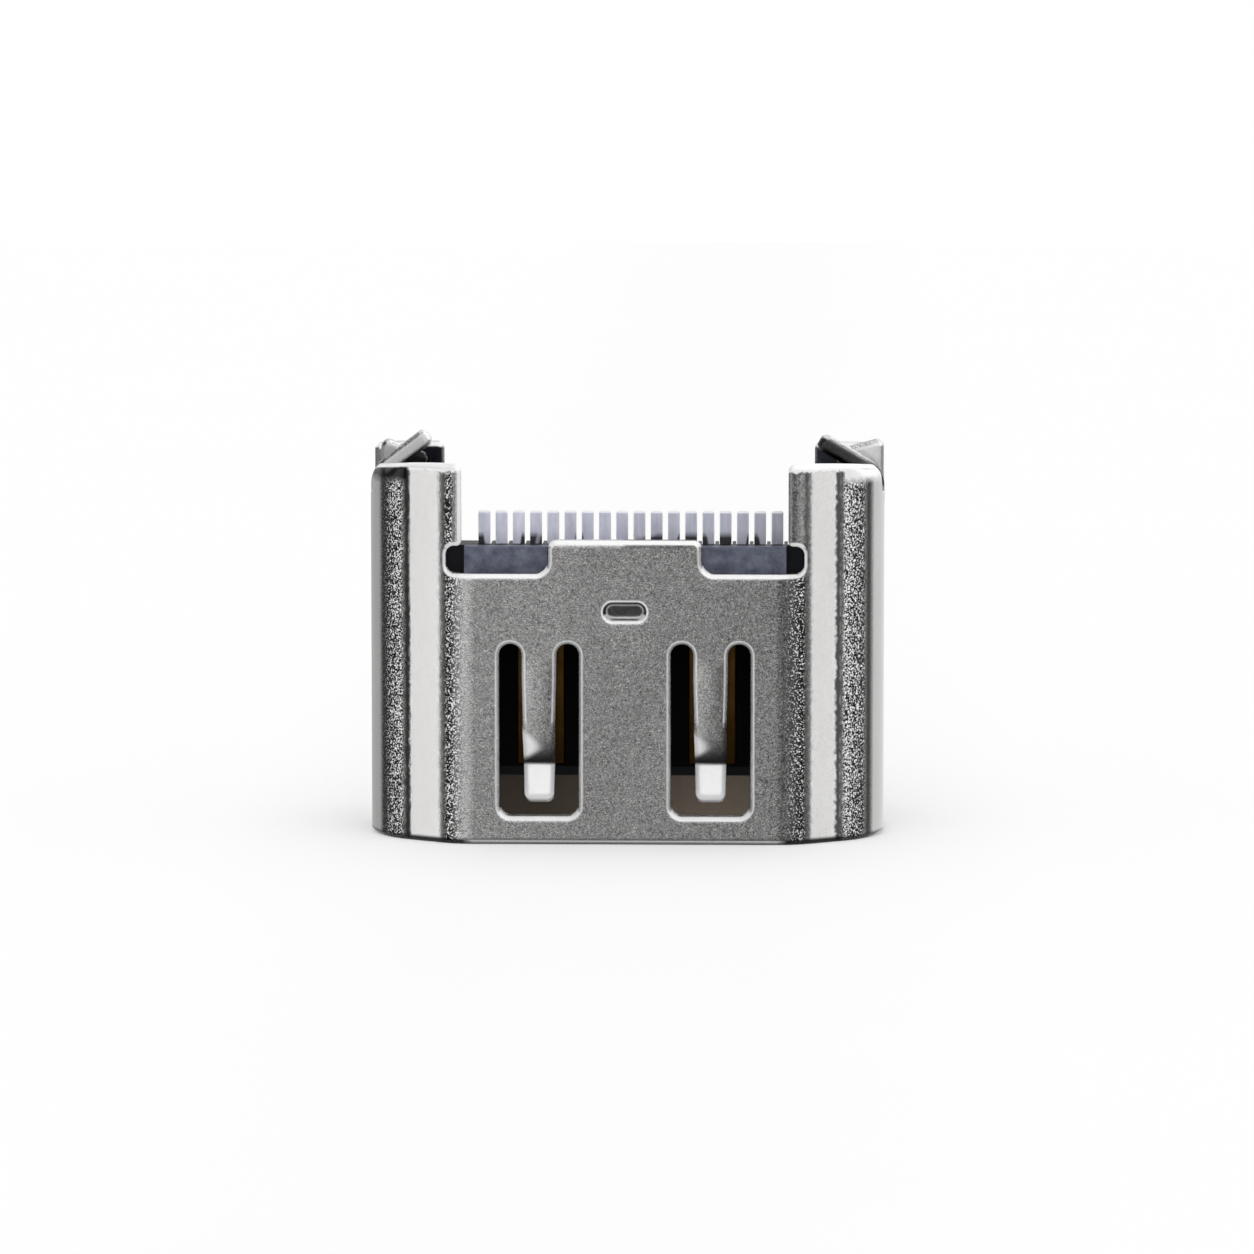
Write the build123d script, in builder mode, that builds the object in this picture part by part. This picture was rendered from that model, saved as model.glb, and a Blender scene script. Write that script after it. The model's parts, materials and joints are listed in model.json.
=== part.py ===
from build123d import *
from math import atan2, cos, radians, sin, sqrt, tan
import os

# A board-mounted HDMI socket, type A, standing on its open mouth.
# The origin is the middle of the mouth, in the plane of its rim. +Z points from the mouth to the
# solder tails, -Y to the narrow face of the D-shaped shell and +Y to its wide face. Millimetres.

# Mouth and sheet of the shell
mouth_width = 14.0
mouth_depth = 4.55
sheet = 0.5
rim_break = 0.12

# D-shaped section, on the shell's outer surface
narrow_width = 9.84
slope_angle = 32.5
narrow_bend = 1.75
side_bend = 2.6
wide_bend = 0.9

# Narrow face: a raised middle tab between two undercut notches
notch_height = 7.87
tab_width = 4.46
tab_rise = 0.98
tab_round = 0.28
notch_round = 0.36
undercut_height = 0.8
undercut_round = 0.25
undercut_ledge = 0.05
undercut_lip_round = 0.16

# Columns at the four corners
side_wall_height = 9.75
near_column_gap = 9.44
near_column_reach = 2.6
near_column_level = 0.8
near_column_ease = 2.0
near_column_fall = 0.2
near_column_curl = 0.75
near_column_upright = 0.03
far_column_gap = 10.92
far_column_rise = 1.5
far_column_curl = 0.2
column_round = 0.2
wide_face_height = 8.2
wide_face_round = 0.4

# Ears folded in from the side walls over the housing, between the columns
ear_slit = 0.15
near_ear_start = 3.1
near_ear_width = 0.65
near_ear_height = 0.78
near_ear_length_left = 1.8
near_ear_length_right = 1.9
near_ear_bend = 0.65
near_ear_rise_left = 37.0
near_ear_rise_right = 30.0
far_ear_width = 0.65
far_ear_height = 1.74
far_ear_length = 1.5
far_ear_crown = 0.2
far_ear_inset_left = 0.25
far_ear_inset_right = 0.02
far_ear_drop_left = 21.0
far_ear_drop_right = 15.0
ear_corner = 0.25
ear_stub = 0.3
ear_joggle = 0.5

# Spring fingers in their windows, two on the narrow face and two on the wide face
window_spacing = 4.96
window_width = 2.28
window_sill = 0.82
wide_window_sill = 1.75
window_head = 5.83
window_corner = 0.32
slot_width = 0.62
finger_stub = 0.32
finger_root_length = 0.4
finger_side_bend = 6.0
finger_tip_width = 0.78
finger_tip_gap = 0.43
finger_tip_round = 0.22
finger_kick_length = 1.05
finger_slope_length = 1.2
finger_bow = 0.45
finger_kick = 0.33
finger_soft_bend = 2.0
finger_sharp_bend = 0.32

# Locating dimple pressed into the narrow face
dimple_rise = 0.48
dimple_length = 1.28
dimple_width = 0.58
dimple_depth = 0.25
dimple_taper = 22.0
dimple_round = 0.12

# Board legs, lanced out of the wide face and left in line with the side walls
leg_reach = 2.3
leg_width = 1.3
leg_tip_width = 0.8
leg_tip_length = 0.6
leg_heights = (2.1, 6.4)
leg_slit = 0.15

# Dovetailed seam of the folded sheet, down the middle of the wide face
seam_gap = 0.05
dovetail_neck = 0.9
dovetail_head = 1.4
dovetail_reach = 0.75
dovetail_heights = (2.2, 5.6)

# Moulded housing: base block, tongue and the two shoulders under the ears
housing_play = 0.03
housing_front = 6.3
housing_base = 1.05
tongue_width = 10.9
tongue_thickness = 1.1
tongue_tip = 1.7
tongue_nose = 0.3
shoulder_gap = 10.5
shoulder_chamfer = 0.38
ear_play = 0.04
dimple_play = 0.05

# Moulded locator comb behind the housing
lip_width = 9.32
lip_depth = 0.45
comb_width = 10.36
comb_depth = 1.25
locator_rise = 1.27
locator_play = 0.05
locator_edge = 0.05
comb_play = 0.03

# Contacts, alternating between the two sides of the tongue, with their tails in one row
contact_count = 19
contact_pitch = 0.5
contact_width = 0.34
contact_thickness = 0.2
contact_proud = 0.03
contact_play = 0.02
contact_start = 0.4
contact_step_inset = 0.17
contact_bend = 0.2
near_reach_start = 0.2
far_reach_start = 0.35
reach_end = 0.95
tail_offset = 0.39
tail_setback = 1.5
tail_rise = 0.95
tail_edge = 0.05

# Sizes that follow from the ones above
outer_width = mouth_width + 2 * sheet
outer_depth = mouth_depth + 2 * sheet
half_width = outer_width / 2
near_face = -outer_depth / 2
wide_face = outer_depth / 2
slope_rise = (half_width - narrow_width / 2) * tan(radians(slope_angle))
tab_height = notch_height + tab_rise
far_column_height = side_wall_height + far_column_rise
wall_middle = half_width - sheet / 2
ear_stub_top = side_wall_height + ear_stub
near_column_height = ear_stub_top + near_column_upright + near_column_curl + near_column_fall
above = 2 * max(near_column_height, far_column_height)
near_ear_y = near_face + near_ear_start
near_ear_knee = side_wall_height + near_ear_height
far_ear_y = near_ear_y + near_ear_width + ear_slit
far_ear_peak = side_wall_height + far_ear_height
window_centres = (-window_spacing / 2, window_spacing / 2)
finger_root_width = window_width - 2 * slot_width
slot_centre_height = window_head - slot_width / 2
finger_top = slot_centre_height - finger_stub
housing_back = housing_front + housing_base
dimple_height = housing_front + dimple_rise
locator_height = housing_back + locator_rise
blade_plane = (tongue_thickness - contact_thickness) / 2 + contact_proud
tail_plane = near_face + tail_setback
tail_height = locator_height + tail_rise
contact_places = [(n - (contact_count - 1) / 2) * contact_pitch for n in range(contact_count)]
near_row = contact_places[1::2]
far_row = contact_places[0::2]


def sharp_edges(part):
    """Edges where the two faces that meet turn by more than 30 degrees."""
    meetings = {}
    for face in part.faces():
        for edge in face.edges():
            meetings.setdefault(hash(edge), []).append((edge, face))
    sharp = ShapeList()
    for meeting in meetings.values():
        if len(meeting) == 2:
            edge = meeting[0][0]
            first, second = [face.normal_at(edge @ 0.5) for _, face in meeting]
            if first.get_angle(second) > 30:
                sharp.append(edge)
    return sharp


def rim_edges(part):
    """The sharp edges along a sheet's outline, without those that cross its thickness."""
    return ShapeList(
        edge
        for edge in sharp_edges(part)
        if edge.geom_type != GeomType.LINE or abs(edge.length - sheet) > rim_break / 10
    )


def away_from(edges, height):
    """The edges that don't lie at this height."""
    return [edge for edge in edges if abs(edge.center().Z - height) > rim_break / 10]


def lying_at(edges, depth):
    """The edges that lie at this depth, such as in the plane of the narrow face."""
    return [edge for edge in edges if abs(edge.center().Y - depth) < rim_break / 10]


# Section of the shell, and of the cavity inside it
with BuildSketch(Plane.XY) as section:
    with BuildLine():
        FilletPolyline(
            (0, near_face),
            (narrow_width / 2, near_face),
            (half_width, near_face + slope_rise),
            (half_width, wide_face),
            (0, wide_face),
            radius=(narrow_bend, side_bend, wide_bend),
        )
        mirror(about=Plane.YZ)
    make_face()

with BuildSketch(Plane.XY) as cavity:
    add(section.sketch)
    offset(amount=-sheet)

with BuildSketch(Plane.XY) as fitted:
    add(cavity.sketch)
    offset(amount=-housing_play)


def window_opening(sill):
    """Both windows of one face: open below the fingers' stubs, with a round-topped slot each side."""
    with BuildSketch(Plane.XY) as opening:
        with BuildLine():
            FilletPolyline(
                (0, sill),
                (window_width / 2, sill),
                (window_width / 2, slot_centre_height),
                radius=window_corner,
            )
            slot_top = CenterArc(
                (window_width / 2 - slot_width / 2, slot_centre_height), slot_width / 2, 0, 180
            )
            Polyline(slot_top @ 1, (finger_root_width / 2, finger_top), (0, finger_top))
            mirror(about=Plane.YZ)
        make_face()
    with BuildSketch(Plane.XY) as pair:
        with Locations(*[(x, 0) for x in window_centres]):
            add(opening.sketch)
    return pair.sketch


def spring_finger(sill):
    """Bent and tapered finger over a window of the narrow face, hanging from its stub at x = 0."""
    middle = near_face + sheet / 2
    tip_height = sill + finger_tip_gap
    bow_height = tip_height + finger_kick_length
    flat_length = finger_top - bow_height - finger_slope_length
    slope_turn = atan2(finger_bow, finger_slope_length)
    soft_bend = min(finger_soft_bend, flat_length / (2 * tan(slope_turn / 2)))
    with BuildPart() as finger:
        with BuildSketch(Plane.YZ):
            with BuildLine():
                FilletPolyline(
                    (middle, finger_top),
                    (middle, bow_height + finger_slope_length),
                    (middle + finger_bow, bow_height),
                    (middle + finger_bow - finger_kick, tip_height),
                    radius=(soft_bend, finger_sharp_bend),
                )
            trace(line_width=sheet)
        extrude(amount=window_width / 2, both=True)
        with BuildSketch(Plane.XZ):
            with BuildLine():
                FilletPolyline(
                    (0, 0),
                    (finger_tip_width / 2, 0),
                    (finger_root_width / 2, finger_top - finger_root_length),
                    (finger_root_width / 2, finger_top),
                    (0, finger_top),
                    radius=(0, finger_side_bend, 0),
                )
                mirror(about=Plane.YZ)
            make_face()
        extrude(amount=outer_depth, both=True, mode=Mode.INTERSECT)
        tip = finger.faces().sort_by(Axis.Z)[0]
        fillet(tip.edges().filter_by(lambda e: abs(e.length - sheet) < rim_break), finger_tip_round)
        outward = ShapeList(face for face in finger.faces() if face.normal_at().Y < -0.5)
        outer_rims = [edge for edge in rim_edges(finger.part) if edge in outward.edges()]
        chamfer(away_from(outer_rims, finger_top), rim_break)
    return finger.part


def near_ear(length, rise):
    """Near ear on the right side wall: up from its stub, bent over, rounded at its rising tip."""
    tip = (wall_middle - length * cos(radians(rise)), near_ear_knee + length * sin(radians(rise)))
    with BuildPart() as ear:
        with BuildSketch(Plane.XZ.offset(-near_ear_y)):
            with BuildLine():
                FilletPolyline(
                    (wall_middle, ear_stub_top),
                    (wall_middle, near_ear_knee),
                    tip,
                    radius=near_ear_bend,
                )
            trace(line_width=sheet)
        extrude(amount=-near_ear_width)
        end = ear.faces().sort_by_distance((tip[0], near_ear_y + near_ear_width / 2, tip[1]))[0]
        fillet(end.edges().filter_by(lambda e: abs(e.length - sheet) < rim_break), ear_corner)
        chamfer(away_from(rim_edges(ear.part), ear_stub_top), rim_break)
    return ear.part


def far_ear(inset, drop):
    """Far ear on the right side wall: joggled inwards, then folded over sharply and drooping."""
    outside = half_width - inset
    run = far_ear_length * cos(radians(drop))
    fall = far_ear_length * sin(radians(drop))
    thick_x = sheet * sin(radians(drop))
    thick_z = sheet * cos(radians(drop))
    inner_drop = thick_z + (sheet + thick_x) * tan(radians(drop))
    with BuildPart() as ear:
        with BuildSketch(Plane.XZ.offset(-far_ear_y)):
            with BuildLine():
                Polyline(
                    (half_width, ear_stub_top),
                    (outside, ear_stub_top + ear_joggle),
                    (outside, far_ear_peak),
                    (outside - run, far_ear_peak - fall),
                    (outside - run + thick_x, far_ear_peak - fall - thick_z),
                    (outside - sheet, far_ear_peak - inner_drop),
                    (outside - sheet, ear_stub_top + ear_joggle),
                    (half_width - sheet, ear_stub_top),
                    close=True,
                )
            make_face()
        extrude(amount=-far_ear_width)
        peak = ear.edges().filter_by(Axis.Y).sort_by(Axis.Z)[-1]
        fillet(peak, far_ear_crown)
        ends = ear.faces().filter_by(lambda f: abs(f.area - sheet * far_ear_width) < 1e-6)
        end = ends.sort_by(Axis.X)[0]
        fillet(end.edges().filter_by(lambda e: abs(e.length - sheet) < rim_break), ear_corner)
        chamfer(away_from(rim_edges(ear.part), ear_stub_top), rim_break)
    return ear.part


def board_leg(height):
    """Leg in line with the right side wall, tapered to its tip."""
    root = wide_face - wide_bend
    with BuildPart() as leg:
        with BuildSketch(Plane.YZ.offset(half_width - sheet)):
            with BuildLine():
                Polyline(
                    (root, 0),
                    (root, leg_width / 2),
                    (wide_face + leg_reach - leg_tip_length, leg_width / 2),
                    (wide_face + leg_reach, leg_tip_width / 2),
                    (wide_face + leg_reach, 0),
                )
                mirror(about=Plane.XZ)
            make_face()
        extrude(amount=sheet)
    return leg.part.moved(Location((0, 0, height)))


with BuildPart() as shell:
    with BuildSketch(Plane.XY):
        add(section.sketch)
        add(cavity.sketch, mode=Mode.SUBTRACT)
    extrude(amount=above)

    # Upper outline of the narrow face and its columns
    with BuildSketch(Plane.XZ):
        undercut_end = near_column_gap / 2 + undercut_lip_round + undercut_ledge + undercut_round
        with BuildLine():
            FilletPolyline(
                (0, tab_height),
                (tab_width / 2, tab_height),
                (tab_width / 2, notch_height),
                (undercut_end, notch_height),
                (undercut_end, notch_height + undercut_height),
                (near_column_gap / 2, notch_height + undercut_height),
                (near_column_gap / 2, near_column_height),
                (outer_width, near_column_height),
                radius=(
                    tab_round,
                    notch_round,
                    undercut_round,
                    undercut_round,
                    undercut_lip_round,
                    column_round,
                ),
            )
            Polyline((outer_width, near_column_height), (outer_width, above), (0, above))
            mirror(about=Plane.YZ)
        make_face()
    extrude(amount=outer_depth, mode=Mode.SUBTRACT)

    # Upper outline of the wide face and its columns
    with BuildSketch(Plane.XZ):
        with BuildLine():
            FilletPolyline(
                (0, wide_face_height),
                (far_column_gap / 2, wide_face_height),
                (far_column_gap / 2, far_column_height),
                (outer_width, far_column_height),
                radius=(wide_face_round, column_round),
            )
            Polyline((outer_width, far_column_height), (outer_width, above), (0, above))
            mirror(about=Plane.YZ)
        make_face()
    extrude(amount=-outer_depth, mode=Mode.SUBTRACT)

    # Side walls: cut down to the stubs of the ears, with a slit beside each stub
    with BuildSketch(Plane.YZ):
        trough_start = near_face + near_column_reach
        trough_end = far_ear_y + far_ear_width + ear_slit
        with BuildLine():
            FilletPolyline(
                (2 * near_face, near_column_height),
                (near_face + near_column_level, near_column_height),
                (trough_start, near_column_height - near_column_fall),
                (trough_start, ear_stub_top),
                (trough_end, ear_stub_top),
                (trough_end, far_column_height),
                (2 * wide_face, far_column_height),
                radius=(near_column_ease, near_column_curl, 0, 0, far_column_curl),
            )
            Polyline(
                (2 * wide_face, far_column_height),
                (2 * wide_face, above),
                (2 * near_face, above),
                (2 * near_face, near_column_height),
            )
        make_face()
        slit_starts = (near_ear_y - ear_slit, near_ear_y + near_ear_width, trough_end - ear_slit)
        with Locations(*[(y + ear_slit / 2, above) for y in slit_starts]):
            Rectangle(ear_slit, 2 * (above - side_wall_height))
    extrude(amount=outer_width, both=True, mode=Mode.SUBTRACT)
    chamfer(away_from(rim_edges(shell.part), ear_stub_top), rim_break)

    # Windows, with their outer rims broken except at the stubs' ends where the fingers go on
    for sill, side in ((window_sill, -1), (wide_window_sill, 1)):
        with BuildSketch(Plane.XZ):
            add(window_opening(sill))
        extrude(amount=-side * outer_depth, mode=Mode.SUBTRACT)
        outer_rims = lying_at(shell.edges(Select.LAST), side * wide_face)
        chamfer(away_from(outer_rims, finger_top), rim_break)

    # Slots that the board legs are lanced from
    leg_slot_end = half_width - wide_bend / 2 - leg_reach
    with BuildSketch(Plane.XZ.offset(wide_bend - wide_face)):
        with Locations(*[(side * half_width, z) for side in (-1, 1) for z in leg_heights]):
            Rectangle(2 * (half_width - leg_slot_end), leg_width + 2 * leg_slit)
    extrude(amount=-outer_depth, mode=Mode.SUBTRACT)

    # Fingers, ears and legs
    with Locations(*[(x, 0) for x in window_centres]):
        add(spring_finger(window_sill))
    with Locations(*[Location((x, 0, 0), (0, 0, 180)) for x in window_centres]):
        add(spring_finger(wide_window_sill))
    add(near_ear(near_ear_length_right, near_ear_rise_right))
    add(far_ear(far_ear_inset_right, far_ear_drop_right))
    near_left = near_ear(near_ear_length_left, near_ear_rise_left)
    far_left = far_ear(far_ear_inset_left, far_ear_drop_left)
    add(mirror(near_left, about=Plane.YZ, mode=Mode.PRIVATE))
    add(mirror(far_left, about=Plane.YZ, mode=Mode.PRIVATE))
    for height in leg_heights:
        add(board_leg(height))
        add(mirror(board_leg(height), about=Plane.YZ, mode=Mode.PRIVATE))

    # Dimple: the pushed-in metal inside, and the recess outside
    for surface, mode in ((near_face + sheet, Mode.ADD), (near_face, Mode.SUBTRACT)):
        with BuildSketch(Plane((0, surface, dimple_height), x_dir=(1, 0, 0), z_dir=(0, 1, 0))):
            SlotOverall(dimple_length, dimple_width)
        extrude(amount=dimple_depth, taper=dimple_taper, mode=mode)
    fillet(lying_at(shell.edges(Select.LAST), near_face), dimple_round)

    # Dovetailed seam
    with BuildSketch(Plane.XZ):
        with BuildLine():
            line_end = (0, 0)
            for height in dovetail_heights:
                head = Polyline(
                    line_end,
                    (0, height - dovetail_neck / 2),
                    (dovetail_reach, height - dovetail_head / 2),
                    (dovetail_reach, height + dovetail_head / 2),
                    (0, height + dovetail_neck / 2),
                )
                line_end = head @ 1
            Line(line_end, (0, far_column_height))
        trace(line_width=seam_gap)
    extrude(amount=-outer_depth, mode=Mode.SUBTRACT)


def contact_outline(x, width):
    """Outline of one contact seen from the front, stepped sideways inside the housing's base."""
    left = x - width / 2
    right = x + width / 2
    contact_tip = tongue_tip + contact_start
    step_low = housing_front + contact_step_inset
    step_high = housing_back - contact_step_inset
    with BuildSketch(Plane.XY) as outline:
        Polygon(
            (left, contact_tip),
            (left, step_low),
            (left + tail_offset, step_high),
            (left + tail_offset, tail_height),
            (right + tail_offset, tail_height),
            (right + tail_offset, step_high),
            (right, step_low),
            (right, contact_tip),
            align=None,
        )
    return outline.sketch


def contact(x, side):
    """One contact: a flat blade on the tongue, a reach to the tail row and an upright tail."""
    reach_start = far_reach_start if side > 0 else near_reach_start
    with BuildPart() as strip:
        with BuildSketch(Plane.YZ):
            with BuildLine():
                FilletPolyline(
                    (side * blade_plane, tongue_tip),
                    (side * blade_plane, housing_back + reach_start),
                    (tail_plane, housing_back + reach_end),
                    (tail_plane, tail_height),
                    radius=contact_bend,
                )
            trace(line_width=contact_thickness)
        extrude(amount=mouth_width, both=True)
        with BuildSketch(Plane.XZ):
            add(contact_outline(x, contact_width))
        extrude(amount=outer_depth, both=True, mode=Mode.INTERSECT)
        chamfer(strip.faces().sort_by(Axis.Z)[-1].edges(), tail_edge)
    return strip


steepest_drop = radians(max(far_ear_drop_left, far_ear_drop_right))
ear_tip_height = far_ear_peak - far_ear_length * sin(steepest_drop) - sheet * cos(steepest_drop)
shoulder_height = ear_tip_height - ear_play

with BuildPart() as housing:
    with BuildSketch(Plane.XY.offset(housing_front)):
        add(fitted.sketch)
    extrude(amount=housing_back - housing_front)

    # Shoulders
    with BuildSketch(Plane.XY.offset(housing_back)):
        add(fitted.sketch)
        Rectangle(shoulder_gap, outer_depth, mode=Mode.SUBTRACT)
    extrude(amount=shoulder_height - housing_back)
    shoulder_side = half_width - sheet - housing_play
    with BuildSketch(Plane.XZ):
        with Locations(*[(side * shoulder_side, shoulder_height) for side in (-1, 1)]):
            Rectangle(shoulder_chamfer * sqrt(2), shoulder_chamfer * sqrt(2), rotation=45)
    extrude(amount=outer_depth, both=True, mode=Mode.SUBTRACT)

    # Tongue
    with BuildSketch(Plane.XY.offset(tongue_tip)):
        Rectangle(tongue_width, tongue_thickness)
    extrude(amount=housing_front - tongue_tip)
    nose = housing.faces().sort_by(Axis.Z)[0]
    chamfer(nose.edges().filter_by(Axis.X), tongue_nose)

    # Channels for the contacts
    for row, side in ((near_row, -1), (far_row, 1)):
        with BuildSketch(Plane.XZ.offset(-side * blade_plane)):
            for x in row:
                add(contact_outline(x, contact_width + 2 * contact_play))
        extrude(amount=contact_thickness / 2 + contact_play, both=True, mode=Mode.SUBTRACT)

    # Pocket for the dimple
    with BuildSketch(Plane.XZ.offset(wide_face - sheet)):
        with Locations((0, dimple_height)):
            SlotOverall(dimple_length + 2 * dimple_play, dimple_width + 2 * dimple_play)
    extrude(amount=-(dimple_depth + dimple_play), mode=Mode.SUBTRACT)

lip_front = near_face + sheet + locator_play
with BuildPart() as locator:
    with BuildSketch(Plane.XY.offset(housing_back)):
        with Locations((0, lip_front)):
            Rectangle(lip_width, lip_depth, align=(Align.CENTER, Align.MIN))
        with Locations((0, lip_front + lip_depth)):
            Rectangle(comb_width, comb_depth, align=(Align.CENTER, Align.MIN))
    extrude(amount=locator_height - housing_back)
    front = locator.faces().sort_by(Axis.Y)[0]
    fillet(front.edges().sort_by(Axis.Z)[-1], locator_edge)
    with BuildSketch(Plane.XY.offset(housing_back)):
        slot_start = tail_plane - contact_thickness / 2 - comb_play
        with Locations(*[(x + tail_offset, slot_start) for x in contact_places]):
            Rectangle(contact_width + 2 * comb_play, outer_depth, align=(Align.CENTER, Align.MIN))
    extrude(amount=locator_height, mode=Mode.SUBTRACT)

os.makedirs("parts", exist_ok=True)
shell.part.label = "shell"
export_step(shell.part, "parts/shell.step")
housing.part.label = "housing"
export_step(housing.part, "parts/housing.step")
locator.part.label = "locator"
export_step(locator.part, "parts/locator.step")
for number, x in enumerate(contact_places, start=1):
    strip = contact(x, 1 if x in far_row else -1)
    strip.part.label = f"contact_{number:02d}"
    export_step(strip.part, f"parts/{strip.part.label}.step")
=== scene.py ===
import bpy
import json
from math import cos, radians, sin
from types import SimpleNamespace
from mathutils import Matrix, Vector

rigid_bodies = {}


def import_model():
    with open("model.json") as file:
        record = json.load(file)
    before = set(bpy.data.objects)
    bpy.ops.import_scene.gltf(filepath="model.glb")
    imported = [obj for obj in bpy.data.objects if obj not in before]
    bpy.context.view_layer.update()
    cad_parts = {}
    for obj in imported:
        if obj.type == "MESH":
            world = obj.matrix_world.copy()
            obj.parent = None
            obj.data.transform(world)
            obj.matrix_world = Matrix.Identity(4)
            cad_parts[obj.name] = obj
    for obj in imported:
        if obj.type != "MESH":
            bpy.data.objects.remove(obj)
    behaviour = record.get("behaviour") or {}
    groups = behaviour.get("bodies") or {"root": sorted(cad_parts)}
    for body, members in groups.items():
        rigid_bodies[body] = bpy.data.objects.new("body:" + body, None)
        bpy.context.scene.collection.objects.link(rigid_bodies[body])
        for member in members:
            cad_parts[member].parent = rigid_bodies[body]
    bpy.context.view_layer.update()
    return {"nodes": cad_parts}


for extra in list(bpy.data.objects):
    bpy.data.objects.remove(extra)
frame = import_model()
nodes = frame["nodes"]
scene = bpy.context.scene
MM = 0.001

# Places on the shell in millimetres, as in the part's source. Across: from the middle outwards
FINGER_SPACING = 4.96
FINGER_HALF = 0.45
FLAT_END = 4.4
SLOPE_START = 5.24
SLOPE_END = 6.22
SIDE_WALL = 7.06

# Up: from the mouth's rim
FINGER_BOW_HEIGHT = 2.3
FINGER_SLOPE = 1.2
COLUMN_FOOT = 8.6
EAR_FOOT = 10.1

# In depth: towards the board
NEAR_EAR_BACK = 1.05


# Node helpers

class Tree:
    """A node tree, built from the textures to the output. Its lengths are in millimetres."""

    def __init__(self, owner):
        owner.use_nodes = True
        self.tree = owner.node_tree
        self.tree.nodes.clear()

    def set(self, socket, value):
        if isinstance(value, bpy.types.NodeSocket):
            self.tree.links.new(value, socket)
        else:
            socket.default_value = value

    def node(self, kind, values=(), **settings):
        made = self.tree.nodes.new("ShaderNode" + kind)
        for name, value in settings.items():
            setattr(made, name, value)
        for name, value in dict(values).items():
            self.set(made.inputs[name], value)
        return made

    def place(self, scale=(1, 1, 1)):
        """Object coordinates, stretched by a scale along each axis."""
        coord = self.node("TexCoord").outputs["Object"]
        stretch = [factor / MM for factor in scale]
        return self.node("Mapping", {"Vector": coord, "Scale": stretch}).outputs["Vector"]

    def parts(self, vector):
        return self.node("SeparateXYZ", {"Vector": vector}).outputs

    def noise(self, vector, scale, detail=3.0, roughness=0.55, distortion=0.0):
        return self.node("TexNoise", {"Vector": vector, "Scale": scale, "Detail": detail,
                                      "Roughness": roughness, "Distortion": distortion}).outputs["Fac"]

    def math(self, operation, a, b=0.0):
        made = self.node("Math", operation=operation)
        self.set(made.inputs[0], a)
        self.set(made.inputs[1], b)
        return made.outputs[0]

    def chain(self, operation, first, *others):
        for other in others:
            first = self.math(operation, first, other)
        return first

    def product(self, *values):
        return self.chain("MULTIPLY", *values)

    def total(self, *values):
        return self.chain("ADD", *values)

    def largest(self, *values):
        return self.chain("MAXIMUM", *values)

    def span(self, value, low, high, to_low=0.0, to_high=1.0, smooth=False):
        made = self.node("MapRange", {"Value": value, "From Min": low, "From Max": high,
                                      "To Min": to_low, "To Max": to_high}, clamp=True)
        made.interpolation_type = "SMOOTHSTEP" if smooth else "LINEAR"
        return made.outputs["Result"]

    def band(self, value, start, full, fade, end):
        """One between full and fade, falling to zero at start and at end."""
        return self.product(self.span(value, start, full), self.span(value, end, fade))

    def on(self, mask, level, elsewhere=1.0):
        """A level where the mask is one, and another where it is zero."""
        return self.span(mask, 0.0, 1.0, elsewhere, level)

    def off(self, mask):
        return self.on(mask, 0.0)

    def blend(self, factor, first, second):
        made = self.node("Mix", data_type="RGBA")
        for index, value in ((0, factor), (6, first), (7, second)):
            self.set(made.inputs[index], value)
        return made.outputs[2]

    def shade(self, colour, level):
        """The colour times a level, which may be above one."""
        made = self.node("VectorMath", {0: colour}, operation="SCALE")
        self.set(made.inputs["Scale"], level)
        return made.outputs["Vector"]

    def ramp(self, value, whole, stops):
        """Brightness along a scale from 0 to whole, given as (position, brightness) pairs."""
        made = self.node("ValToRGB", {"Fac": self.math("DIVIDE", value, whole)})
        points = made.color_ramp.elements
        points.remove(points[1])
        points[0].position = 0.0
        points[0].color = grey(stops[0][1])
        for position, level in stops[1:]:
            points.new(position / whole).color = grey(level)
        return made.outputs["Color"]

    def bevel(self, radius, samples):
        """The surface's direction, with its edges rounded."""
        return self.node("Bevel", {"Radius": radius * MM}, samples=samples).outputs["Normal"]

    def bump(self, height, depth, strength, normal):
        return self.node("Bump", {"Strength": strength, "Distance": depth * MM, "Height": height,
                                  "Normal": normal}).outputs["Normal"]

    def mix_shaders(self, factor, first, second):
        made = self.node("MixShader", {"Fac": factor})
        self.set(made.inputs[1], first.outputs[0])
        self.set(made.inputs[2], second.outputs[0])
        return made

    def finish(self, shader):
        self.node("OutputMaterial", {"Surface": shader.outputs[0]})


def grey(level, warm=0.0):
    return (level * (1 + warm), level, level * (1 - warm), 1.0)


def new_look(name):
    material = bpy.data.materials.new(name)
    return material, Tree(material)


# Shell

def where(t):
    """Where a point lies on the shell and which way it faces, with frayed copies for ragged borders."""
    place = t.place()
    x, y, z = t.parts(place)
    beside = t.math("ABSOLUTE", x)
    outer = t.span(y, -0.9, -1.1)
    direction = t.bevel(0.12, 8)
    sideways, forward, upward = t.parts(direction)
    fray = t.span(t.noise(place, 6.0), 0.3, 0.7, -0.04, 0.04)
    off_centre = t.math("ABSOLUTE", t.total(x, 0.08))
    return SimpleNamespace(
        place=place, x=x, y=y, z=z, beside=beside, right=t.span(x, -0.1, 0.1), outer=outer,
        column=t.product(t.span(z, COLUMN_FOOT, 8.8), outer),
        direction=direction, sideways=sideways, tilt=t.math("MULTIPLY", forward, -1.0), upward=upward,
        ragged=t.total(beside, fray), ragged_outer=t.total(off_centre, fray),
        ragged_height=t.total(z, fray),
        smears=t.noise(t.place((1.0, 1.0, 0.35)), 0.7, 4.0))


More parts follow.
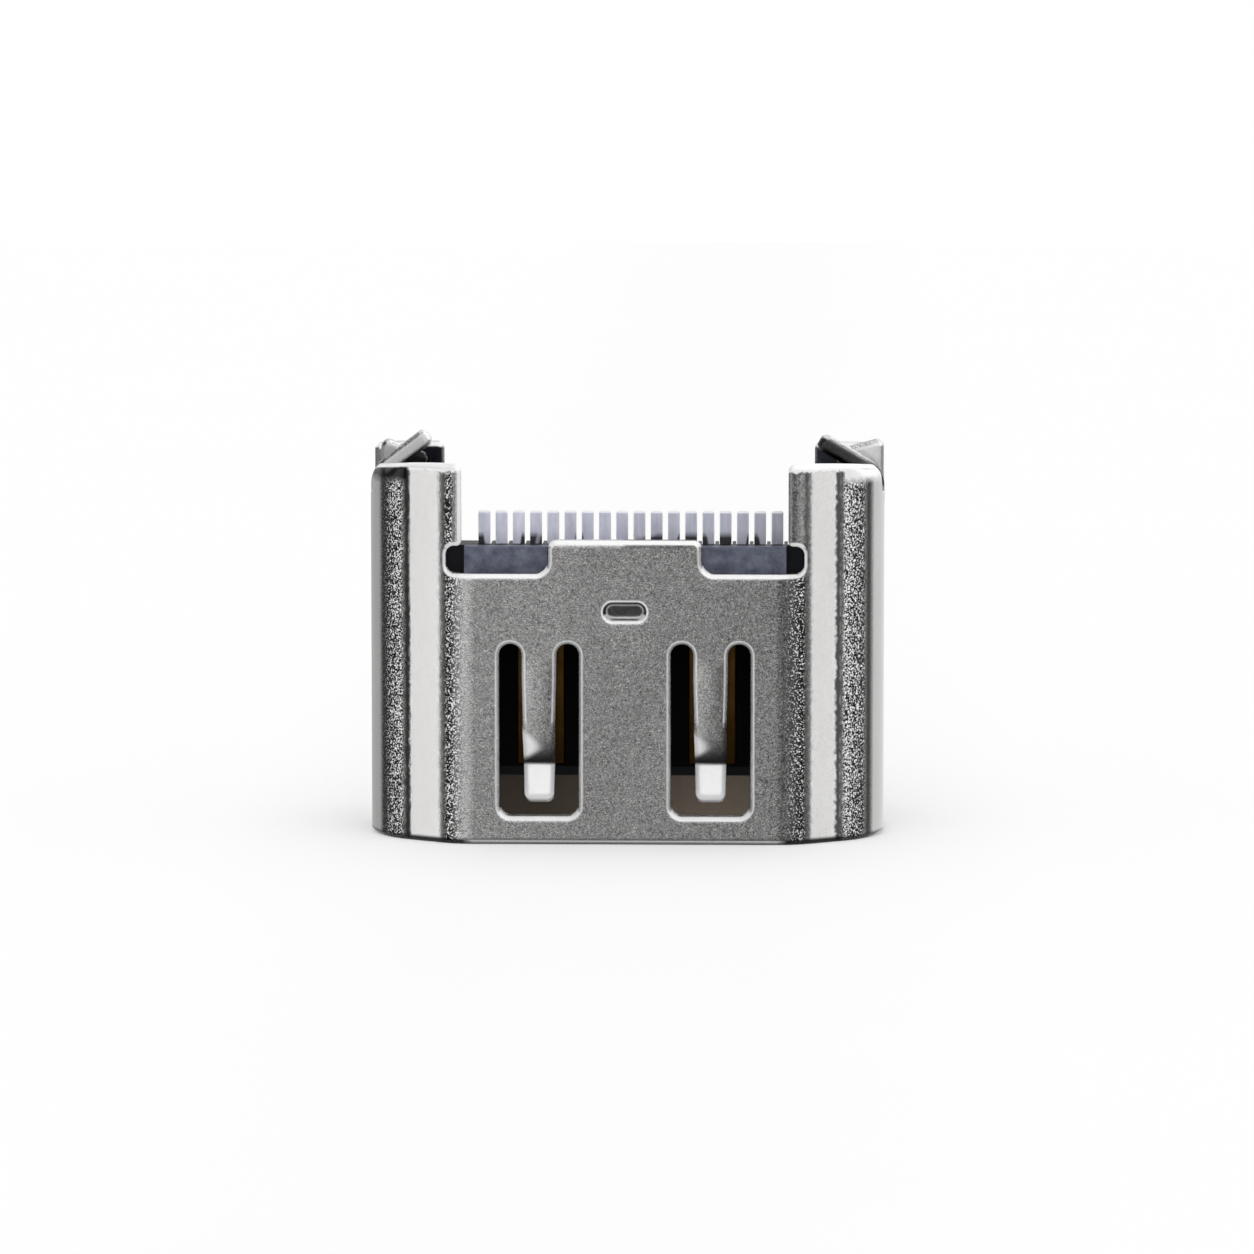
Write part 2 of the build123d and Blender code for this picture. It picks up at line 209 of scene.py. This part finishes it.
def strains(t, at):
    """Where the sheet was stretched, ironed or curled over, and the painted dark reflections beside the
    ironed slopes and near the side walls.
    """
    curled_over = t.product(t.span(at.ragged_height, 10.36, 10.60), t.span(at.beside, 6.3, 6.36),
                            t.span(at.y, -0.1, -0.2))
    slope = t.band(at.beside, SLOPE_START, 5.40, SLOPE_END, 6.30)
    plain_column = t.product(at.column, t.largest(at.right, t.span(at.ragged, 5.02, 4.94)))
    inner_bend = t.product(t.band(at.ragged, 4.52, 5.05, 5.17, SLOPE_START), t.on(plain_column, 0.12))
    outer_bend = t.band(at.ragged_outer, 6.34, 6.42, 6.98, SIDE_WALL)
    # Painted dark reflections: dark bands beside each ironed slope and near the side walls.
    inner_line = t.product(t.band(at.ragged, 5.12, 5.22, SLOPE_START, 5.44), 0.75)
    outer_line = t.band(at.ragged_outer, 6.14, 6.21, 6.28, 6.46)
    wall_line = t.band(at.beside, 6.85, 7.02, SIDE_WALL, 7.36)
    return SimpleNamespace(
        curled_over=curled_over,
        bends=t.product(t.total(inner_bend, outer_bend), at.outer, t.off(curled_over)),
        ironed=t.largest(t.product(slope, at.outer), curled_over, t.span(at.beside, SIDE_WALL, 7.22)),
        lines=t.product(t.total(inner_line, outer_line, wall_line), at.outer, 0.93))


def relief(t, at, strain, blobs, worms):
    """Curled column tops, coarse grains on the bends and a fine grain where nothing ironed it."""
    crown = t.product(t.span(at.z, 10.42, 10.90), t.span(at.beside, 6.2, 7.0), t.span(at.y, -0.1, -0.2))
    curled = t.bump(t.product(crown, crown, -1.0), 0.20, 1.0, at.direction)
    coarse = t.bump(blobs, 0.04, strain.bends, curled)
    return t.bump(worms, 0.014, t.on(strain.ironed, 0.06, elsewhere=0.8), coarse)


def fingers(t, at):
    """The spring fingers of the narrow face: across goes from -1 to 1 over a finger's width, and
    down from 1 to 0 along the slope where it bends inwards."""
    from_middle = t.math("SUBTRACT", at.x, t.on(at.right, FINGER_SPACING / 2, -FINGER_SPACING / 2))
    across = t.math("DIVIDE", from_middle, FINGER_HALF)
    down = t.math("DIVIDE", t.math("SUBTRACT", at.z, FINGER_BOW_HEIGHT), FINGER_SLOPE)
    strip = t.product(t.span(t.math("ABSOLUTE", across), 1.5, 1.35), t.span(at.y, -1.8, -2.0),
                      t.span(at.beside, 1.2, 1.3))
    body = t.product(strip, t.band(at.z, 2.2, 2.3, 5.0, 5.6))
    return SimpleNamespace(across=across, down=down, body=body,
                           tip=t.product(strip, t.band(at.z, 1.18, 1.22, 2.26, 2.34)),
                           slope=t.product(body, t.band(down, -0.05, 0.05, 0.9, 1.1)))


def plate_with_painted_light(t, at, strain, finger, worms):
    """Plated metal with a fine grain, and painted light and shade where the bends start, on the columns'
    inner edges, along the fingers and from left to right."""
    plate = t.blend(t.span(at.smears, 0.35, 0.7), grey(0.62, 0.01), grey(0.70, 0.01))
    grain = t.product(t.span(worms, 0.34, 0.66, -0.50, 0.56), t.on(strain.ironed, 0.08))
    # Painted light and shade on the inner bends: lighter on the left, darker on the right.
    flank = t.product(t.band(at.beside, 4.36, 4.58, 4.95, 5.08), at.outer, t.off(at.column),
                      t.on(at.right, -0.42, elsewhere=0.75))
    # Painted light and shade on the columns' inner edges: lighter on the left, darker on the right.
    column_edge_light = t.blend(at.right, t.span(at.beside, 4.84, 4.90, 2.1, 0.9),
                   t.span(at.beside, 4.74, 5.12, 0.12, 1.0))
    column_edge_light = t.product(t.math("SUBTRACT", column_edge_light, 1.0), at.column, t.span(at.beside, 5.19, 5.12))
    # Painted highlight on each finger's left side and painted shade on its right; painted shade over the
    # face, deeper to the right.
    finger_light = t.product(t.span(finger.across, -0.9, 0.9, 0.56, -0.36), finger.body)
    face_shade = t.product(t.span(at.x, -4.2, 4.2, -0.11, -0.34), t.span(at.beside, 5.0, FLAT_END))
    return t.shade(plate, t.total(grain, flank, column_edge_light, finger_light, face_shade, 1.0))


def bend_glints(t, at, blobs):
    """Painted glints: one on the pale grains of the bends, which are richer inwards on the outer bends.
    """
    inner = t.on(at.right, 0.580, elsewhere=0.550)
    outer = t.total(t.span(at.ragged_outer, 6.4, 6.9, 0.505, 0.58), t.on(at.right, -0.015, elsewhere=0.0))
    sparse = t.blend(t.span(at.beside, 5.8, 5.9), inner, outer)
    return t.span(t.math("SUBTRACT", blobs, sparse), -0.03, 0.04)


def painted_shades(t, at, strain, plate):
    """Painted light and shade: a warm painted reflection low on the inner side with painted shade above
    it, lighter to the right, and painted shade on the floor of the dimple, along the lower rim and on the
    left column tops.
    """
    inside = t.band(at.y, 2.15, 2.26, 2.30, 2.40)
    # Painted light and shade inside: a warm painted reflection low down, painted shade higher up, lighter
    # to the right.
    inner_light_and_shade = t.blend(t.span(at.z, 8.0, 8.4), (0.20, 0.165, 0.13, 1.0), (0.040, 0.042, 0.055, 1.0))
    plate = t.blend(inside, plate, t.shade(inner_light_and_shade, t.span(at.x, -2.5, 2.5, 0.65, 1.8)))
    dimple = t.product(t.band(at.y, -2.70, -2.62, -2.5, -2.4), t.span(at.beside, 0.7, 0.62),
                       t.band(at.z, 6.4, 6.5, 7.06, 7.16))
    # Painted shade on the left column tops.
    left_crown_shade = t.product(strain.curled_over, t.off(at.right))
    # Painted shade on the floor of the dimple and along the lower rim, then on the left column tops.
    plate = t.shade(plate, t.product(t.on(dimple, 0.20), t.span(at.z, 0.11, 0.21, 0.05, 1.0)))
    return t.shade(plate, t.on(left_crown_shade, 0.15))


def finger_glint(t, at, finger):
    """A painted glint: a bright flank on the left of each finger's slope, widest half way along it."""
    bell = t.product(t.span(finger.down, -0.05, 0.42, smooth=True),
                     t.span(finger.down, 1.10, 0.42, smooth=True))
    limit = t.math("SUBTRACT", t.on(bell, 0.10, elsewhere=-1.35), t.on(at.right, 0.25, elsewhere=0.0))
    return t.product(t.span(t.math("SUBTRACT", limit, finger.across), -0.35, 0.60, smooth=True),
                     finger.slope)


def rim_highlights(t, at, strain, finger, ears):
    """Painted highlights on the rims round the windows, on edges that look up, on some that look down,
    at the columns' inner edges, on the caps, finger tips and right column tops, and painted shade in the
    dark band beside the windows' rims."""
    face_front = t.span(at.y, -2.0, -2.2)
    flat = t.product(t.span(at.beside, 4.7, FLAT_END), t.off(finger.slope), face_front)
    # Painted shade in a dark band just inside the windows' rims.
    brink_shade = t.product(t.band(at.tilt, 0.10, 0.25, 0.52, 0.66), flat)
    face_rims = t.product(t.band(at.tilt, 0.66, 0.78, 0.90, 0.985), flat,
                          t.span(at.sideways, 0.15, 0.45, 1.0, 0.85))
    top_rims = t.product(t.band(at.upward, 0.22, 0.40, 0.86, 0.97), t.off(ears.all))
    under_rims = t.product(t.band(at.upward, -0.97, -0.85, -0.5, -0.3), t.span(at.z, 8.0, 8.2))
    inward = t.product(at.sideways, t.on(at.right, -1.0))
    column_rims = t.product(t.band(inward, 0.2, 0.4, 0.8, 0.95), t.span(at.z, 7.8, 7.86),
                            t.on(t.product(at.right, at.column), 0.35))
    caps = t.product(t.span(at.ragged_height, 10.78, 10.83), at.outer,
                     t.largest(at.right, t.span(at.beside, 6.35, 6.25)))
    tips = t.product(finger.tip, t.span(at.tilt, 0.2, 0.4, 0.0, 0.95))
    right_crown_highlight = t.product(strain.curled_over, at.right, 0.95)
    # Painted highlights: these rims, caps, tips and right column tops turn pale.
    rim_highlight = t.largest(face_rims, top_rims, t.product(t.largest(column_rims, under_rims), at.outer),
                     caps, tips, right_crown_highlight)
    return rim_highlight, brink_shade


def ear_places(t, at):
    """The folded ears: their cut faces, the near right one and the tip of the far left one, which gets
    painted shade.
    """
    ears = t.product(t.span(at.z, EAR_FOOT, 10.2), t.band(at.y, 0.2, 0.3, 1.82, 1.88))
    near_right = t.product(ears, at.right, t.math("LESS_THAN", at.y, NEAR_EAR_BACK))
    far = t.math("GREATER_THAN", at.y, NEAR_EAR_BACK)
    cut = t.largest(t.product(ears, t.span(at.tilt, 0.72, 0.86)),
                    t.product(near_right, t.span(at.upward, 0.75, 0.55)))
    # Painted shade on the far left ear's tip.
    far_ear_shade = t.product(t.span(at.beside, 6.65, 6.50), t.off(at.right), ears, far)
    return SimpleNamespace(all=ears, near_right=near_right, far=far, cut=cut, far_ear_shade=far_ear_shade)


def nickel():
    """Bright nickel on folded sheet: fine grain, coarse painted glints on the strained bends, ironed
    slopes between two painted dark reflections, painted highlights on the rims, and painted light and
    shade in other places."""
    material, t = new_look("bright_nickel")
    at = where(t)
    blobs = t.noise(at.place, 20.0, 2.0, 0.5, 0.5)
    worms = t.noise(at.place, 17.0, 2.0, 0.5, 2.2)
    strain = strains(t, at)
    finger = fingers(t, at)
    ears = ear_places(t, at)
    glint_speck = bend_glints(t, at, blobs)
    glint = finger_glint(t, at, finger)
    # Painted shade where each finger's slope bends in at its foot.
    finger_shade = t.product(t.span(finger.down, 0.90, 0.05, smooth=True), finger.slope)
    rim_highlight, brink_shade = rim_highlights(t, at, strain, finger, ears)

    colour = plate_with_painted_light(t, at, strain, finger, worms)
    # Painted glints: the bends turn black with white specks.
    colour = t.blend(strain.bends, colour, t.blend(glint_speck, grey(0.03), grey(1.0)))
    # Painted dark reflections beside the slopes and near the side walls.
    colour = t.blend(strain.lines, colour, grey(0.03))
    # Painted light and shade inside, in the dimple, along the lower rim and on the left column tops.
    colour = painted_shades(t, at, strain, colour)
    colour = t.blend(finger_shade, colour, grey(0.03))
    # Painted glint on each finger's left flank.
    colour = t.blend(glint, colour, grey(0.95))
    # Painted light and shade on the ears' cut faces: near left pale, near right dark, far left light
    # grey, far right pale.
    near_ear_light = t.blend(at.right, grey(0.72), grey(0.015))
    far_ear_light = t.blend(at.right, grey(0.55), grey(0.95))
    colour = t.blend(t.product(ears.cut, 0.9), colour, t.blend(ears.far, near_ear_light, far_ear_light))
    # Painted shade in a dark band just inside the windows' rims.
    colour = t.blend(brink_shade, colour, grey(0.04))
    # Painted highlights on the rims, caps, finger tips and right column tops.
    colour = t.blend(rim_highlight, colour, grey(1.0))
    # Painted shade on the tip of the far left ear.
    colour = t.blend(ears.far_ear_shade, colour, grey(0.01))

    # Matt where light is painted, so the painted glints, highlights and ear faces keep their colour.
    matte_painted_light = t.largest(t.product(strain.bends, glint_speck), t.product(rim_highlight, 0.85),
                        t.product(ears.cut, t.on(ears.near_right, 0.0, elsewhere=0.6)), glint)
    roughness = t.total(t.span(at.smears, 0.3, 0.75, 0.14, 0.20), t.product(matte_painted_light, 0.2))
    t.finish(t.node("BsdfPrincipled", {"Base Color": colour,
                                       "Metallic": t.on(matte_painted_light, 0.15),
                                       "Roughness": roughness,
                                       "Normal": relief(t, at, strain, blobs, worms)}))
    return material


# Mouldings and contacts

def moulded(name, dark, light, roughness, sheen, shade_from=None):
    """Moulded plastic: soft mottling, a fine eroded skin and small changes of gloss. It may have
    painted shade further back than a given depth."""
    material, t = new_look(name)
    place = t.place()
    mottle = t.noise(place, 2.6, 4.0, 0.65)
    skin = t.noise(place, 16.0, 3.0, 0.6)
    colour = t.blend(t.span(mottle, 0.36, 0.64), dark, light)
    if shade_from:
        # Painted shade behind the given depth.
        deep_shade = t.span(t.parts(place)["Y"], shade_from, shade_from + 0.04)
        colour = t.blend(deep_shade, colour, tuple(level * 0.1 for level in dark[:3]) + (1.0,))
    gloss = t.span(mottle, 0.3, 0.75, roughness - 0.08, roughness + 0.08)
    t.finish(t.node("BsdfPrincipled", {"Base Color": colour, "Roughness": gloss,
                                       "Specular IOR Level": sheen,
                                       "Normal": t.bump(skin, 0.01, 0.6, t.bevel(0.05, 6))}))
    return material


def plated():
    """Contact strip: gilt on the tongue with painted shade low down; matt tin on the tail, with painted
    light to the left, painted highlights on its edges and painted shade at its feet.
    """
    material, t = new_look("plated_contact")
    place = t.place()
    x, _, z = t.parts(place)
    drawn = t.noise(t.place((1.0, 1.0, 0.12)), 9.0)
    blotch = t.noise(place, 1.5)
    rounded = t.bevel(0.06, 6)
    sideways, _, upward = t.parts(rounded)
    tin = t.blend(t.span(blotch, 0.3, 0.7), (0.54, 0.55, 0.67, 1.0), (0.66, 0.67, 0.78, 1.0))
    # Painted light: the tin lighter on the left, darker on the right.
    tin = t.shade(tin, t.product(t.span(x, -4.5, 5.0, 1.15, 0.78), t.span(drawn, 0.3, 0.7, 0.88, 1.10)))
    # Painted highlights on edges that face sideways and up.
    edges = t.largest(t.span(t.math("ABSOLUTE", sideways), 0.15, 0.4), t.span(upward, 0.2, 0.5))
    tin = t.blend(edges, tin, (0.86, 0.86, 0.90, 1.0))
    # Painted shade in blotches at the tails' feet, just above the comb.
    foot_shade = t.product(t.band(z, 8.56, 8.62, 8.80, 8.98),
                       t.span(t.noise(t.place((1.0, 0.0, 0.25)), 1.3, 1.0), 0.54, 0.57))
    tin = t.blend(foot_shade, tin, (0.03, 0.03, 0.035, 1.0))
    gilt = t.blend(t.span(blotch, 0.3, 0.7), (0.22, 0.11, 0.025, 1.0), (0.32, 0.17, 0.045, 1.0))
    # Painted shade on the gilt, darker low down.
    gilt = t.shade(gilt, t.span(z, 2.1, 5.0, 0.2, 0.9))
    tinned = t.span(z, 6.9, 7.3)
    t.finish(t.node("BsdfPrincipled", {"Base Color": t.blend(tinned, gilt, tin),
                                       "Metallic": t.on(tinned, 0.05),
                                       "Roughness": t.span(drawn, 0.3, 0.7, 0.34, 0.46),
                                       "Normal": t.bump(drawn, 0.004, 0.5, rounded)}))
    return material


looks = {
    "shell": nickel(),
    "housing": moulded("black_moulding", (0.001, 0.001, 0.0012, 1), (0.002, 0.002, 0.003, 1), 0.6, 0.1),
    "locator": moulded("slate_moulding", (0.070, 0.076, 0.115, 1), (0.150, 0.162, 0.215, 1), 0.5, 0.3,
                       shade_from=-1.82),
    "contact": plated(),
}
for name, piece in nodes.items():
    look = looks["contact" if name.startswith("contact") else name]
    for slot in piece.material_slots:
        slot.material = look


# Floor

FLOOR_REACH = 1.2
FLOOR_BACK = 0.28


def panel(name, corners):
    mesh = bpy.data.meshes.new(name)
    mesh.from_pydata(corners, [], [tuple(range(len(corners)))])
    piece = bpy.data.objects.new(name, mesh)
    scene.collection.objects.link(piece)
    return piece


def floor_look():
    """Pale floor that keeps its shadow, with painted light, a white glow seen only by the camera, paling
    the shadow beside the part. It isn't mirrored in the metal: the lower half of what the world shows to
    metal stands in for it."""
    material, t = new_look("pale_floor")
    place = t.place()
    tone = t.blend(t.noise(place, 0.06), grey(0.975), grey(0.99))
    path = t.node("LightPath")
    # Painted light: a white glow for camera rays, stronger away from the part, pales its shadow there.
    painted_glow = t.span(t.math("ABSOLUTE", t.parts(place)["X"]), 4.0, 12.0, 0.0, 0.72)
    lifted = t.mix_shaders(t.product(path.outputs["Is Camera Ray"], painted_glow),
                           t.node("BsdfDiffuse", {"Color": tone, "Roughness": 0.6}),
                           t.node("Emission", {"Color": grey(1.0), "Strength": 1.0}))
    t.finish(t.mix_shaders(path.outputs["Is Glossy Ray"], lifted, t.node("BsdfTransparent")))
    return material


ground = panel("floor", [(-FLOOR_REACH, -FLOOR_REACH, 0), (FLOOR_REACH, -FLOOR_REACH, 0),
                         (FLOOR_REACH, FLOOR_BACK, 0), (-FLOOR_REACH, FLOOR_BACK, 0)])
ground.data.materials.append(floor_look())


# Light

# What metal mirrors, as (degrees, brightness) pairs from the front round each side to the back:
# at eye level and above it, then straight up and well below
LEFT_LEVEL = ((0, 0.28), (36, 0.26), (48, 0.05), (61, 0.04), (62.5, 2.05), (68, 2.05), (69.5, 0.04),
              (76, 0.04), (84, 0.40), (97, 0.40), (102, 0.04), (108, 0.04), (118, 0.46), (180, 0.52))
RIGHT_LEVEL = ((0, 0.28), (36, 0.24), (48, 0.05), (61, 0.04), (62.5, 1.47), (68, 1.47), (69.5, 0.04),
               (76, 0.04), (84, 0.40), (97, 0.40), (102, 0.04), (108, 0.04), (118, 0.80), (180, 0.90))
LEFT_ABOVE = ((0, 1.3), (34, 1.2), (44, 0.05), (112, 0.05), (124, 0.8), (180, 0.9))
RIGHT_ABOVE = ((0, 1.3), (34, 1.2), (48, 0.10), (62, 1.5), (180, 1.5))
ZENITH = 1.0
BELOW = 0.44


def studio_world():
    """White to the camera and to matt surfaces; soft lights and dark gaps in what metal mirrors."""
    world = bpy.data.worlds.new("studio")
    scene.world = world
    w = Tree(world)
    x, y, z = w.parts(w.node("TexCoord").outputs["Generated"])
    turn = w.math("DEGREES", w.math("ARCTAN2", w.math("ABSOLUTE", x), w.product(y, -1.0)))
    rise = w.math("DEGREES", w.math("ARCSINE", z))
    on_right = w.math("GREATER_THAN", x, 0.0)
    level = w.blend(on_right, w.ramp(turn, 180.0, LEFT_LEVEL), w.ramp(turn, 180.0, RIGHT_LEVEL))
    above = w.blend(on_right, w.ramp(turn, 180.0, LEFT_ABOVE), w.ramp(turn, 180.0, RIGHT_ABOVE))
    mirrored = w.blend(w.span(rise, 4.0, 20.0, smooth=True), level, above)
    mirrored = w.blend(w.span(rise, 62.0, 72.0, smooth=True), mirrored, grey(ZENITH))
    mirrored = w.blend(w.span(rise, -32.0, -15.0, smooth=True), grey(BELOW), mirrored)
    seen = w.mix_shaders(w.node("LightPath").outputs["Is Glossy Ray"],
                         w.node("Background", {"Color": grey(1.0), "Strength": 1.0}),
                         w.node("Background", {"Color": mirrored, "Strength": 1.0}))
    w.node("OutputWorld", {"Surface": seen.outputs[0]})


studio_world()


# Camera

IMAGE_WIDTH = 1254
PIXELS_PER_MM = 34.67
SENSOR_WIDTH = 36.0
VIEW_YAW = radians(1.6)
VIEW_TILT = radians(6.5)
VIEW_DISTANCE = 0.2135
AIM = Vector((0.07, -2.775, 6.35)) * MM

forward = Vector((-sin(VIEW_YAW) * cos(VIEW_TILT), cos(VIEW_YAW) * cos(VIEW_TILT), -sin(VIEW_TILT)))
lens = bpy.data.cameras.new("camera")
camera = bpy.data.objects.new("camera", lens)
camera.location = AIM - forward * VIEW_DISTANCE
camera.rotation_euler = forward.to_track_quat("-Z", "Y").to_euler()
lens.sensor_fit = "HORIZONTAL"
lens.sensor_width = SENSOR_WIDTH
lens.lens = SENSOR_WIDTH * PIXELS_PER_MM / IMAGE_WIDTH * VIEW_DISTANCE / MM
lens.clip_start = 0.01
lens.clip_end = 10.0
scene.collection.objects.link(camera)
scene.camera = camera
scene.view_settings.view_transform = "Standard"
